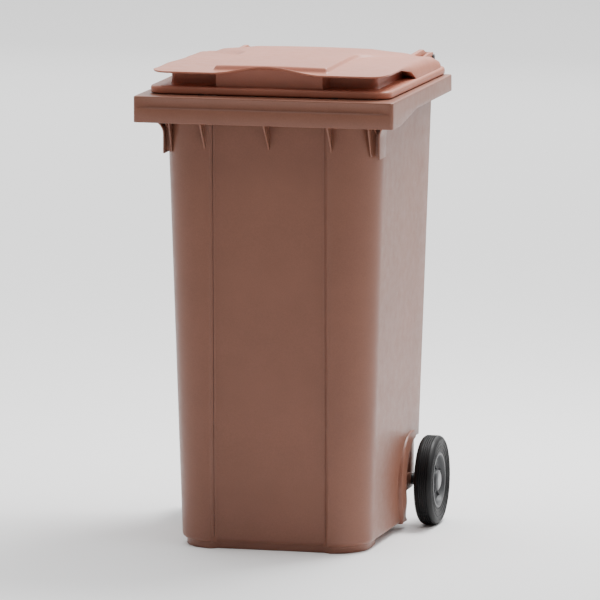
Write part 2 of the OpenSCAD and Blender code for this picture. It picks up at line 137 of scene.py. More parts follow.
def round_edges(obj, width, segments=2, angle=38):
    mod = obj.modifiers.new("round", "BEVEL")
    mod.width = width * MM
    mod.segments = segments
    mod.limit_method = "ANGLE"
    mod.angle_limit = math.radians(angle)
    mod.harden_normals = False
    apply_modifiers(obj)
    shade(obj, 50)


def join(name, parts):
    """One object from several closed shells."""
    target = parts[0]
    work = bmesh.new()
    for part in parts:
        work.from_mesh(part.data)
    mesh = bpy.data.meshes.new(name)
    work.to_mesh(mesh)
    work.free()
    for part in parts[1:]:
        bpy.data.objects.remove(part)
    target.data = mesh
    target.name = name
    shade(target, 50)
    return target


def loft(rings, closed=False):
    """Quads between rings of equal length. Open lofts get a face on either end."""
    count = len(rings[0])
    verts = [p for ring in rings for p in ring]
    faces = []
    last = len(rings) if closed else len(rings) - 1
    for r in range(last):
        a = r * count
        b = (r + 1) % len(rings) * count
        for i in range(count):
            j = (i + 1) % count
            faces.append((a + i, a + j, b + j, b + i))
    if not closed:
        faces.append(tuple(range(count))[::-1])
        faces.append(tuple(range((len(rings) - 1) * count, len(rings) * count)))
    return verts, faces


def plate_x(name, profile, x0, x1):
    """Profile of (y, z) points, extruded along x."""
    rings = [[(x, y, z) for y, z in profile] for x in (x0, x1)]
    return new_object(name, *loft(rings))


def arc(cy, cz, r, start, end, steps):
    return [(cy + r * math.cos(math.radians(mix(start, end, i / steps))),
             cz + r * math.sin(math.radians(mix(start, end, i / steps))))
            for i in range(steps + 1)]


def lathe(name, profile, y, z, side, steps=96):
    """Closed profile of (radius, x) points turned about the axle."""
    rings = []
    for i in range(steps):
        a = 2 * math.pi * i / steps
        rings.append([(side * x, y + r * math.cos(a), z + r * math.sin(a)) for r, x in profile])
    return new_object(name, *loft(rings, closed=True))


def rounded(profile, radius, steps=3):
    """Rounds each corner of a closed 2-D profile, within its shorter edges."""
    out = []
    n = len(profile)
    for i in range(n):
        p = Vector(profile[i])
        before = Vector(profile[i - 1]) - p
        after = Vector(profile[(i + 1) % n]) - p
        cut_back = min(radius, before.length * 0.45, after.length * 0.45)
        a = p + before.normalized() * cut_back
        b = p + after.normalized() * cut_back
        for k in range(steps + 1):
            t = k / steps
            q = a * (1 - t) ** 2 + p * 2 * t * (1 - t) + b * t ** 2
            out.append(tuple(q))
    return out


# ------------------------------------------------------------------ materials
def principled(name):
    mat = bpy.data.materials.new(name)
    mat.use_nodes = True
    nodes = mat.node_tree.nodes
    return mat, nodes, mat.node_tree.links, nodes["Principled BSDF"]


def noise(nodes, links, coords, scale, detail=4, roughness=0.55):
    tex = nodes.new("ShaderNodeTexNoise")
    tex.inputs["Scale"].default_value = scale
    tex.inputs["Detail"].default_value = detail
    tex.inputs["Roughness"].default_value = roughness
    links.new(coords, tex.inputs["Vector"])
    return tex.outputs["Fac"]


def ramp(nodes, links, fac, stops):
    node = nodes.new("ShaderNodeValToRGB")
    elements = node.color_ramp.elements
    for i, (place, colour) in enumerate(stops):
        item = elements[i] if i < 2 else elements.new(place)
        item.position = place
        item.color = (*colour, 1)
    links.new(fac, node.inputs["Fac"])
    return node.outputs["Color"]


def moulded_plastic(name, colour, rough, grain=0.12, tone=0.06, specular=0.4):
    """Injection-moulded plastic: soft tone changes, fine grain and light scuffs."""
    mat, nodes, links, shader = principled(name)
    coords = nodes.new("ShaderNodeTexCoord").outputs["Object"]
    dark = tuple(c * (1 - tone) for c in colour)
    light = tuple(min(1, c * (1 + tone)) for c in colour)
    cloud = noise(nodes, links, coords, 5.5, 6, 0.6)
    base = ramp(nodes, links, cloud, [(0.32, dark), (0.68, light)])
    speck = noise(nodes, links, coords, 420, 2)
    flecks = ramp(nodes, links, speck, [(0.35, (0.93,) * 3), (0.65, (1.05,) * 3)])
    blend = nodes.new("ShaderNodeMix")
    blend.data_type = "RGBA"
    blend.blend_type = "MULTIPLY"
    blend.inputs["Factor"].default_value = 0.8
    links.new(base, blend.inputs["A"])
    links.new(flecks, blend.inputs["B"])
    links.new(blend.outputs["Result"], shader.inputs["Base Color"])
    wear = noise(nodes, links, coords, 38, 8, 0.7)
    gloss = nodes.new("ShaderNodeMapRange")
    gloss.inputs["From Min"].default_value = 0.3
    gloss.inputs["From Max"].default_value = 0.7
    gloss.inputs["To Min"].default_value = rough - 0.05
    gloss.inputs["To Max"].default_value = rough + 0.07
    links.new(wear, gloss.inputs["Value"])
    links.new(gloss.outputs["Result"], shader.inputs["Roughness"])
    fine = noise(nodes, links, coords, 900, 3)
    bump = nodes.new("ShaderNodeBump")
    bump.inputs["Strength"].default_value = grain
    bump.inputs["Distance"].default_value = 0.0004
    links.new(fine, bump.inputs["Height"])
    links.new(bump.outputs["Normal"], shader.inputs["Normal"])
    shader.inputs["Specular IOR Level"].default_value = specular
    return mat


def rubber_material(name):
    mat = moulded_plastic(name, (0.006, 0.006, 0.0065), 0.5, grain=0.3, tone=0.2, specular=0.25)
    return mat


def steel_material(name):
    mat, nodes, links, shader = principled(name)
    coords = nodes.new("ShaderNodeTexCoord").outputs["Object"]
    stretch = nodes.new("ShaderNodeMapping")
    stretch.inputs["Scale"].default_value = (6, 700, 700)
    links.new(coords, stretch.inputs["Vector"])
    lines = noise(nodes, links, stretch.outputs["Vector"], 1.0, 3)
    base = ramp(nodes, links, lines, [(0.3, (0.45, 0.455, 0.46)), (0.7, (0.62, 0.625, 0.63))])
    links.new(base, shader.inputs["Base Color"])
    gloss = nodes.new("ShaderNodeMapRange")
    gloss.inputs["To Min"].default_value = 0.28
    gloss.inputs["To Max"].default_value = 0.42
    links.new(lines, gloss.inputs["Value"])
    links.new(gloss.outputs["Result"], shader.inputs["Roughness"])
    shader.inputs["Metallic"].default_value = 1.0
    return mat


BROWN = (0.225, 0.095, 0.063)
mat_tub = moulded_plastic("tub_plastic_mat", BROWN, 0.36, specular=0.3)
# The lid is the tub's own brown plastic, painted lighter over the whole lid moulding: painted light
# standing in for the overhead light on the lid's top.
mat_lid_lightened = moulded_plastic("lid_plastic_lightened_mat", (0.42, 0.158, 0.103), 0.36, specular=0.26)
mat_black = moulded_plastic("black_plastic_mat", (0.016, 0.016, 0.017), 0.42, tone=0.15)
mat_tyre = rubber_material("tyre_rubber_mat")
mat_hub = moulded_plastic("hub_plastic_mat", (0.075, 0.077, 0.080), 0.42, tone=0.1)
mat_cap = moulded_plastic("cap_plastic_mat", (0.20, 0.205, 0.21), 0.38, tone=0.08)
mat_bush = moulded_plastic("bush_plastic_mat", (0.55, 0.54, 0.50), 0.45, tone=0.05)
mat_steel = steel_material("axle_steel_mat")


def finish_piece(obj, material, body, slot_name, *nodes):
    obj.data.materials.clear()
    obj.data.materials.append(material)
    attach(obj, body)
    if nodes:
        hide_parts(*nodes)
    return obj


# ------------------------------------------------------------------ tub
WALL = 4.5
BASE_Z = 14
SHELL_TOP = RIM_TOP - 8
SKIRT_FRONT = 58
SKIRT_SIDE = 37
RIM_WALL = 5
PANEL_HALF = 122
PANEL_STEP = 12
PANEL_RECESS = 10
CORNER_FRONT = 84
CORNER_REAR = 25


def down(z):
    return (SHELL_TOP - z) / (SHELL_TOP - BASE_Z)


def half_front(z):
    return mix(245, 215, down(z))


def half_rear(z):
    return mix(250, 224, down(z))


def wall_front(z):
    return mix(46, 56, down(z))


def wall_rear(z):
    return RIM_D - mix(4, 43, down(z))


def outline(z, margin, recess):
    """Closed outline of the tub at height z, drawn in by a margin."""
    hf = half_front(z) - margin
    hr = half_rear(z) - margin
    yf = wall_front(z) + margin
    yr = wall_rear(z) - margin
    rf = CORNER_FRONT - margin
    rr = max(CORNER_REAR - margin, 6)
    half = [(x, yf + recess) for x in (0, 30, 60, 90, PANEL_HALF - 3 - margin)]
    for i in range(7):
        t = i / 6
        x = PANEL_HALF - margin + PANEL_STEP * t
        half.append((x, yf + recess * (1 - smooth(0, 1, t) * 0.5 - t * 0.5)))
    half.append((hf - rf - 2, yf) if hf - rf - 2 > PANEL_HALF + PANEL_STEP else half[-1])
    half += [(x, y) for x, y in arc(hf - rf, yf + rf, rf, -90, 0, 22)]
    for i in range(1, 6):
        t = i / 6
        half.append((mix(hf, hr, t), mix(yf + rf, yr - rr, t)))
    half += [(x, y) for x, y in arc(hr - rr, yr - rr, rr, 0, 90, 8)]
    for i in range(1, 5):
        half.append(((hr - rr) * (1 - i / 5), yr))
    half.append((0, yr))
    left = [(-x, y) for x, y in half[1:-1]][::-1]
    return [(x, y, z) for x, y in half + left]


def tub_solid(name, margin, floor_z, top_z):
    """The tub's block, with its base edge rounded and the front panel set back."""
    rings = []
    edge = 12
    for i in range(7):
        a = math.radians(15 * i)
        z = floor_z + edge * (1 - math.cos(a))
        rings.append(outline(z, margin + edge * (1 - math.sin(a)), PANEL_RECESS))
    skirt_low = RIM_TOP - SKIRT_FRONT
    for i in range(1, 11):
        z = mix(floor_z + edge, skirt_low, i / 10)
        rings.append(outline(z, margin, PANEL_RECESS))
    rings.append(outline(top_z, margin, PANEL_RECESS))
    return new_object(name, *loft(rings))


BAY_R = 97
SEAM = 0.1


def bay_solid(name, grow):
    """Space for the axle and wheels."""
    r = BAY_R + grow
    step = 60 + grow
    start = 180 + math.degrees(math.acos(step / r))
    curve = arc(AXLE_Y, AXLE_Z, r, start, 90, 40)
    profile = [(AXLE_Y - step, -40)] + curve + [(AXLE_Y + 200, AXLE_Z + r), (AXLE_Y + 200, -40)]
    return plate_x(name, profile, -320, 320)


def build_shell():
    shell = tub_solid("tub_shell", 0, BASE_Z, RIM_TOP - RIM_WALL - SEAM)
    cut(shell, bay_solid("bay", 0))
    cavity = tub_solid("tub_cavity", WALL, BASE_Z + WALL, RIM_TOP + 4)
    cut(cavity, bay_solid("bay_inner", WALL))
    cut(shell, cavity)
    round_edges(shell, 1.6, 2, 50)
    return shell


def plate_axis(low, high, r_low, r_high, middle, corner_steps):
    """Grid positions along one axis, with the same count for every outline."""
    out = [low + r_low * i / corner_steps for i in range(corner_steps)]
    out += [mix(low + r_low, high - r_high, f) for f in middle]
    out += [high - r_high * (1 - i / corner_steps) for i in range(1, corner_steps + 1)]
    return out


def on_plate(x, y, half, y0, y1, r):
    """Moves a point of a rectangle's corner block onto the rounded corner."""
    cx = half - r
    ax = abs(x) - cx
    cy = y0 + r if y < y0 + r else y1 - r
    ay = abs(y - cy) if (y < y0 + r or y > y1 - r) else 0
    if ax <= 0 or ay <= 0:
        return x, y
    k = max(ax, ay) / math.hypot(ax, ay)
    sx = 1 if x > 0 else -1
    sy = -1 if y < y0 + r else 1
    return sx * (cx + ax * k), cy + sy * ay * k


class Plate:
    """A rounded rectangle whose grid and border points line up with every other Plate's."""

    def __init__(self, half, y0, y1, r, mid_x, mid_y, steps=8):
        self.half, self.y0, self.y1, self.r = half, y0, y1, r
        self.xs = plate_axis(-half, half, r, r, mid_x, steps)
        self.ys = plate_axis(y0, y1, r, r, mid_y, steps)

    def point(self, i, j):
        return on_plate(self.xs[i], self.ys[j], self.half, self.y0, self.y1, self.r)

    def border_index(self):
        nx, ny = len(self.xs) - 1, len(self.ys) - 1
        index = [(i, 0) for i in range(nx)] + [(nx, j) for j in range(ny)]
        index += [(i, ny) for i in range(nx, 0, -1)] + [(0, j) for j in range(ny, 0, -1)]
        return index

    def border(self):
        return [self.point(i, j) for i, j in self.border_index()]


RIM_MID_X = [i / 24 for i in range(25)]
RIM_MID_Y = [i / 40 for i in range(41)]


def rim_plate(inset, y_front=None, half=None, y_back=None, r=None):
    return Plate(RIM_HALF - inset if half is None else half,
                 inset if y_front is None else y_front,
                 RIM_D - inset if y_back is None else y_back,
                 max(7 - inset, 2) if r is None else r, RIM_MID_X, RIM_MID_Y).border()


def skirt_bottom(x, y):
    """Lower edge of the rim's skirt: deep at the front, shallower along the sides."""
    return RIM_TOP - SKIRT_FRONT + (SKIRT_FRONT - SKIRT_SIDE) * clamp((y - 78) / 150)


def build_rim():
    """Rim swept round its own outline: top face, outer skirt, and the hollow behind it."""
    band_low = RIM_TOP - 27
    groove = 4.6
    outer = rim_plate(0)
    mouth = rim_plate(0, 46 + WALL + 8, 245 - WALL - 4, RIM_D - 4 - WALL, 40)
    rings = []

    def ring(inset, height):
        base = rim_plate(inset) if not callable(inset) else None
        points = []
        for k, (ox, oy) in enumerate(outer):
            if base is None:
                amount = inset(ox, oy)
                px = ox - amount * (1 if ox > 0 else -1) if abs(ox) > RIM_HALF - 1 else ox
                py = oy + amount if oy < 1 else oy
            else:
                px, py = base[k]
            z = height(ox, oy) if callable(height) else height
            points.append((px, py, z))
        rings.append(points)

    def groove_in(x, y):
        return groove * smooth(RIM_HALF - 21, RIM_HALF - 29, abs(x)) if y < 2 else 0.0

    def low(extra):
        return lambda x, y: skirt_bottom(x, y) + extra

    def at_least(z, extra):
        return lambda x, y: max(z, skirt_bottom(x, y) + extra)

    rings.append([(x, y, RIM_TOP - RIM_WALL) for x, y in mouth])
    rings.append([(x, y, RIM_TOP - 1.2) for x, y in mouth])
    grown = rim_plate(0, 46 + WALL + 6.8, 245 - WALL - 2.8, RIM_D - 4 - WALL + 1, 41)
    rings.append([(x, y, RIM_TOP) for x, y in grown])
    for inset, dip in ((3.2, 0), (1.7, 0.35), (0.6, 1.2), (0.05, 2.6)):
        ring(inset, RIM_TOP - dip)
    ring(lambda x, y: groove_in(x, y) * 0.12, at_least(RIM_TOP - 4, 9))
    ring(groove_in, at_least(band_low + 3.4, 6))
    ring(lambda x, y: groove_in(x, y) * 0.85, at_least(band_low + 2.4, 5))
    ring(lambda x, y: groove_in(x, y) * 0.12, at_least(band_low + 0.8, 4.2))
    ring(0, at_least(band_low - 0.8, 3.4))
    ring(0, low(1.6))
    ring(0.5, low(0.5))
    ring(1.5, low(0))
    ring(RIM_WALL - 1, low(0))
    ring(RIM_WALL, low(1))
    ring(RIM_WALL, RIM_TOP - RIM_WALL - 3)
    ring(RIM_WALL + 3, RIM_TOP - RIM_WALL)
    return new_object("rim", *loft(rings, closed=True), smooth_angle=38)


def build_gusset(x, thick=3.6):
    low = RIM_TOP - SKIRT_FRONT - 59
    front = wall_front(low)
    recess = PANEL_RECESS if abs(x) < PANEL_HALF else 0
    profile = [(RIM_WALL - 1, RIM_TOP - RIM_WALL + 1), (RIM_WALL - 1, RIM_TOP - SKIRT_FRONT + 2),
               (front + recess, low), (front + recess + 3, low),
               (front + recess + 3, RIM_TOP - RIM_WALL + 1)]
    gusset = plate_x("gusset", profile, x - thick / 2, x + thick / 2)
    round_edges(gusset, 0.8, 2)
    return gusset


def build_corner_bracket(side):
    """Two fins and the web between them, under one front corner of the rim."""
    low = RIM_TOP - SKIRT_FRONT - 75
    top = RIM_TOP - RIM_WALL + 1
    outer = 243
    inner = 225
    fin = 3.4
    front = wall_front(low) + 28
    parts = []
    curve = arc(0, 0, 1, 180, 90, 10)
    flare_w, flare_h = 24, 34
    rings = []
    path = [(outer - fin / 2, low, front)]
    path.append((outer - fin / 2, RIM_TOP - SKIRT_FRONT - flare_h, front))
    for cx, cz in curve[1:]:
        path.append((outer - fin / 2 + flare_w * (1 + cx),
                     RIM_TOP - SKIRT_FRONT - flare_h + flare_h * cz,
                     front - 34 * (1 + cx)))
    path.append((outer - fin / 2 + flare_w, RIM_TOP - SKIRT_FRONT + 20, front - 34))
    for x, z, y in path:
        rings.append([(side * (x - fin / 2), y, z), (side * (x + fin / 2), y, z),
                      (side * (x + fin / 2), front + 62, z), (side * (x - fin / 2), front + 62, z)])
    parts.append(new_object("fin_outer", *loft(rings)))
    for x, y0, y1, z0 in ((inner - fin / 2, front, front + 30, low + 5),):
        profile = [(y0, z0), (y0 - 26, RIM_TOP - SKIRT_FRONT - 6), (y0 - 26, top), (y1, top), (y1, z0)]
        lo, hi = sorted((side * (x - fin / 2), side * (x + fin / 2)))
        parts.append(plate_x("fin_inner", profile, lo, hi))
    lo, hi = sorted((side * (inner - fin), side * (outer - 1)))
    web_y = front + 14
    web = [(web_y, low + 5), (web_y, top), (web_y + fin, top), (web_y + fin, low + 5)]
    parts.append(plate_x("bracket_web", web, lo, hi))
    for part in parts:
        round_edges(part, 0.9, 2)
    rib_x = outer - 9
    rib = [(front - 20, top), (front - 20, RIM_TOP - SKIRT_FRONT - 2),
           (web_y + 1, RIM_TOP - SKIRT_FRONT - 24), (web_y + 1, top)]
    parts.append(plate_x("bracket_rib", rib, side * rib_x - 1.2, side * rib_x + 1.2))
    return parts


def build_fender(side):
    """Curved edge that stands out of the side wall round the front of the wheel."""
    out_x, in_x = 233, 188
    r0, r1 = BAY_R - 1, BAY_R + 6
    rings = []
    steps = 56
    for i in range(steps + 1):
        degrees = mix(94, 239, i / steps)
        spread = max(0.0, math.cos(math.radians((degrees - 178) * 0.95)))
        foot_r = r1 + 2 + 34 * spread ** 0.7
        wall_x = 219
        out = mix(out_x, wall_x + 4, smooth(196, 236, degrees))
        section = rounded([(r0, in_x), (foot_r, in_x), (foot_r, wall_x),
                           (foot_r - 3, out - 2), (r1 - 3, out), (r0, out)], 2)
        a = math.radians(degrees)
        rings.append([(side * x, AXLE_Y + r * math.cos(a), max(AXLE_Z + r * math.sin(a), BASE_Z))
                      for r, x in section])
    return new_object("fender", *loft(rings))


def build_axle_bracket(x0, x1):
    arm = (axle_hi[2] - axle_lo[2]) / 2 + 8
    profile = [(AXLE_Y - BAY_R - 3, AXLE_Z - arm)]
    profile += arc(AXLE_Y, AXLE_Z, arm, -90, 0, 12)
    profile += [(AXLE_Y + arm, AXLE_Z + BAY_R + 3), (AXLE_Y - arm, AXLE_Z + BAY_R + 3),
                (AXLE_Y - arm, AXLE_Z + arm), (AXLE_Y - BAY_R - 3, AXLE_Z + arm)]
    bracket = plate_x("axle_bracket", profile, x0, x1)
    round_edges(bracket, 1.5, 2)
    return bracket


LUG_IN, LUG_OUT = 194, 212
LUG_R = 13


def build_lug(side):
    profile = [(RIM_D - RIM_WALL, RIM_TOP - SKIRT_SIDE)]
    profile += arc(HINGE_Y, HINGE_Z, LUG_R, -70, 95, 18)
    profile += [(592 + 6, RIM_TOP), (RIM_D - RIM_WALL, RIM_TOP)]
    lo, hi = sorted((side * LUG_IN, side * LUG_OUT))
    lug = plate_x("hinge_lug", profile, lo, hi)
    bore = lathe("lug_bore", [(0.01, LUG_IN - 4), (5.05, LUG_IN - 4), (5.05, LUG_OUT + 4),
                              (0.01, LUG_OUT + 4)], HINGE_Y, HINGE_Z, side, 32)
    cut(lug, bore)
    round_edges(lug, 1.4, 2)
    return lug


GRIP_HALF = 172
GRIP_D = 30


def build_handle():
    """One bar bent into two arms, swept along its centre line."""
    grip_y = OVERALL_D - GRIP_D / 2
    grip_z = RIM_TOP - SKIRT_SIDE / 2 - 4
    bend = 26
    arm_x = GRIP_HALF - 10
    half = [(arm_x, RIM_D - 4, grip_z + 4, 10, 18.5)]
    half.append((arm_x, mix(RIM_D, grip_y, 0.45), grip_z + 2, 10, 17))
    for i in range(9):
        a = math.radians(90 * i / 8)
        t = i / 8
        half.append((arm_x - bend + bend * math.cos(a), grip_y - bend + bend * math.sin(a),
                     mix(grip_z + 1, grip_z, t), mix(11, GRIP_D / 2, t), GRIP_D / 2))
    for x in (arm_x - bend - 20, 80, 40):
        half.append((x, grip_y, grip_z, GRIP_D / 2, GRIP_D / 2))
    path = half + [(0, grip_y, grip_z, GRIP_D / 2, GRIP_D / 2)]
    path += [(-p[0],) + p[1:] for p in half[::-1]]
    rings = []
    for i, (x, y, z, w, h) in enumerate(path):
        ahead = path[min(i + 1, len(path) - 1)]
        back = path[max(i - 1, 0)]
        along = Vector((ahead[0] - back[0], ahead[1] - back[1], 0)).normalized()
        across = Vector((along.y, -along.x, 0))
        ring = []
        for k in range(28):
            a = 2 * math.pi * k / 28
            c, s = math.cos(a), math.sin(a)
            c = math.copysign(abs(c) ** 0.85, c)
            s = math.copysign(abs(s) ** 0.85, s)
            p = Vector((x, y, z)) + across * (w * c)
            ring.append((p.x, p.y, z + h * s))
        rings.append(ring)
    return new_object("handle", *loft(rings))


def build_foot():
    """Band under the front of the tub, set back from its walls, and three ribs inside it."""
    parts = []
    half, y0, y1 = 206, 62, 268
    band = 8

    def ring(inset, z, radius):
        plate = Plate(half - inset, y0 + inset, y1 - inset, radius, middle, middle)
        return [(x, y + PANEL_RECESS * smooth(PANEL_HALF + PANEL_STEP, PANEL_HALF, abs(x))
                 * (1 if y < y0 + 30 else 0), z) for x, y in plate.border()]

    middle = [0.02, 0.1, 0.16, 0.2, 0.3, 0.42, 0.58, 0.7, 0.8, 0.84, 0.9, 0.98]
    rings = [ring(0, BASE_Z + 6, 82), ring(0, 1.5, 82), ring(1.5, 0, 80.5),
             ring(band - 1.5, 0, 75.5), ring(band, 1.5, 74), ring(band, BASE_Z + 6, 74)]
    parts.append(new_object("foot_band", *loft(rings, closed=True)))
    for x in (-103, 0, 103):
        rib = [(y0 + PANEL_RECESS + 3, 0), (y1 - 4, 0), (y1 - 4, BASE_Z + 4),
               (y0 + PANEL_RECESS + 3, BASE_Z + 4)]
        parts.append(plate_x("foot_rib", rib, x - 3, x + 3))
    return parts


def build_tub():
    parts = [build_shell()] + build_foot()
    for side in SIDES:
        parts.append(build_fender(side))
        lo, hi = sorted((side * 197, side * 223))
        parts.append(build_axle_bracket(lo, hi))
    parts.append(build_axle_bracket(-13, 13))
    finish_piece(join("tub_moulding", parts), mat_tub, TUB, "tub_plastic", "tub")


def build_rim_piece():
    parts = [build_rim()] + [build_gusset(x) for x in (-142, 0, 142)]
    for side in SIDES:
        parts += build_corner_bracket(side)
        parts.append(build_lug(side))
    finish_piece(join("rim_moulding", parts), mat_tub, TUB, "tub_plastic", "rim")


# ------------------------------------------------------------------ lid
LID_HALF = RIM_HALF - 20
LID_TAPER = 7
LID_FRONT = 46
LID_BACK = RIM_D + 14
LID_Z = lid_lo[2]
FLANGE_TOP = LID_Z + 16
DECK_Z = RIM_TOP + 52
CROWN_Z = RIM_TOP + 67
VISOR_HALF = LID_HALF - 7
VISOR_FRONT = LID_FRONT - 12
VISOR_R = 44
NECK = 8
LID_R = 34
GRIP_END = 328
WAVE_HALF = 125
LIP_WALL = 4


def table(points, v):
    """Smooth curve through (position, value) points."""
    if v <= points[0][0]:
        return points[0][1]
    for (v0, a), (v1, b) in zip(points, points[1:]):
        if v <= v1:
            return mix(a, b, smooth(v0, v1, v))
    return points[-1][1]


PANEL = [(34, 1055), (78, 1056.5), (180, 1058.5), (330, 1060.5), (430, 1060), (500, 1055.5),
         (560, 1045), (590, 1036)]
PANEL_SLOPE = [(200, 0), (400, 5), (590, 7)]


def deck_height(x, y):
    return table(PANEL, y) - table(PANEL_SLOPE, y) * clamp((abs(x) - 130) / 90)


def crown_edge(y):
    return 127 + 90 * smooth(318, 448, y)


def crown_height(x, y):
    z = CROWN_Z - 2 + 2 * smooth(80, 300, y) - 1.5 * min(abs(x) / 128, 1.3) ** 2
    z -= 17 * smooth(440, 592, y)
    return z - 7 * clamp((abs(x) - 128) / 90)


def wave(x):
    return 16 * math.cos(math.pi / 2 * clamp(abs(x) / WAVE_HALF)) ** 2


def edge_height(x, y):
    """Height of the deck's outer border: the visor's lip, the arch, and the rear shoulder."""
    lip = DECK_Z + wave(x)
    arch = lip - 10 * smooth(185, 282, y)
    return mix(arch, FLANGE_TOP + 2, smooth(262, GRIP_END, y) ** 1.5)


def border_half(y):
    """Half width of the deck: the visor's, then the side walls' behind the arch."""
    wall_half = LID_HALF - NECK + 3 + LID_TAPER * clamp((y - LID_FRONT) / (LID_BACK - LID_FRONT))
    return mix(VISOR_HALF, wall_half, smooth(GRIP_END - 60, GRIP_END, y))


def deck_top(x, y, border):
    """Height of the lid's top face, border being the distance in from its outline."""
    z = deck_height(x, y)
    front = smooth(67, 77, y)
    spread = mix(1, 3.2, smooth(300, 400, y))
    side = 1 - smooth(-5 * spread, 4 * spread, abs(x) - crown_edge(y))
    z = mix(z, max(z, crown_height(x, y)), front * side)
    edge = edge_height(x, y)
    reach = 40 if edge > z else 30
    near_front = mix(edge, z, smooth(0, reach, y - VISOR_FRONT))
    width = mix(30, 24, smooth(280, 360, y))
    s = clamp(border / width)
    shoulder = edge + (z - edge) * (1 - (1 - s) ** 2.4) ** (1 / 2.4)
    return mix(near_front, shoulder, smooth(60, 110, y))


def dense(marks, low, high, coarse, fine, reach):
    """Positions from low to high, close together near each mark."""
    out = [low]
    while out[-1] < high:
        near = min(abs(out[-1] - m) for m in marks)
        out.append(out[-1] + mix(fine, coarse, clamp(near / reach)))
    span = out[-1] - low
    return [low + (v - low) * (high - low) / span for v in out]


def lid_axes():
    """Fractions along x and y at which the lid's grids and rings are drawn."""
    right = dense([WAVE_HALF - 1, 128], 0, VISOR_HALF - VISOR_R, 7, 1.5, 26)
    xs = sorted([-v for v in right[1:]] + right)
    span = VISOR_HALF - VISOR_R
    mid_x = [(v / span + 1) / 2 for v in xs]
    y0, y1 = VISOR_FRONT + VISOR_R, LID_BACK - VISOR_R
    ys = dense([GRIP_END - 14], y0, y1, 7, 1.8, 70)
    mid_y = [(v - y0) / (y1 - y0) for v in ys]
    return mid_x, mid_y


